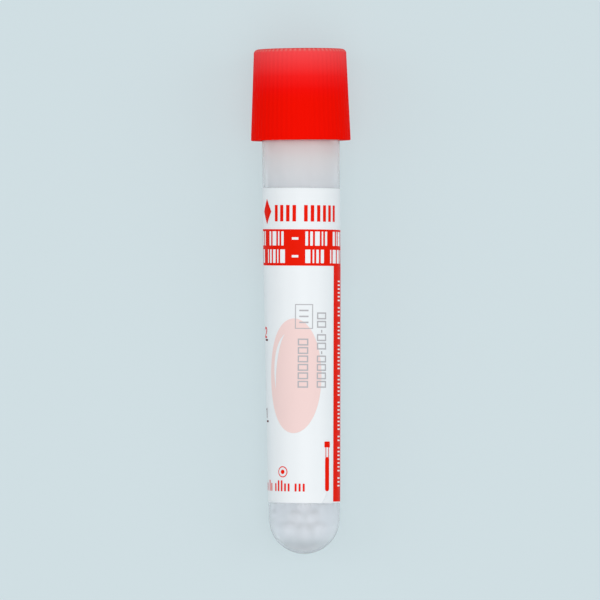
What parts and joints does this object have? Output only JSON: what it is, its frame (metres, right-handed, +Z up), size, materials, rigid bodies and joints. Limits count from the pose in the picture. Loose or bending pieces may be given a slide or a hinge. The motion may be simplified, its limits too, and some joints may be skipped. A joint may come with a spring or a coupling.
{
  "type": "blood collection tube",
  "caption": "Round-ended plastic blood collection tube with a ribbed push-on cap, a wrap-round label and loose beads in the end, lying on its side.",
  "frame": {"origin": "centre of the whole object's footprint, on the surface that the tube lies on", "axes": "+X from the round end to the cap, +Y across the tube, +Z up; the tube's own axis rises 2.17 degrees towards the cap"},
  "size_m": [0.077, 0.0152, 0.0152],
  "materials": {
    "tube_plastic": "frosted translucent moulded plastic",
    "cap_plastic": "satin moulded plastic",
    "label_film": "satin printed film",
    "bead_plastic": "matt white plastic"
  },
  "bodies": {
    "tube": {"tube": "tube_plastic", "label": "label_film", "beads": "bead_plastic"},
    "cap": {"cap": "cap_plastic"}
  },
  "joints": [
    {"name": "cap_pull", "type": "slide", "parent": "tube", "child": "cap", "axis": [0.9993, 0, 0.0379], "range_m": [0, 0.04]}
  ]
}
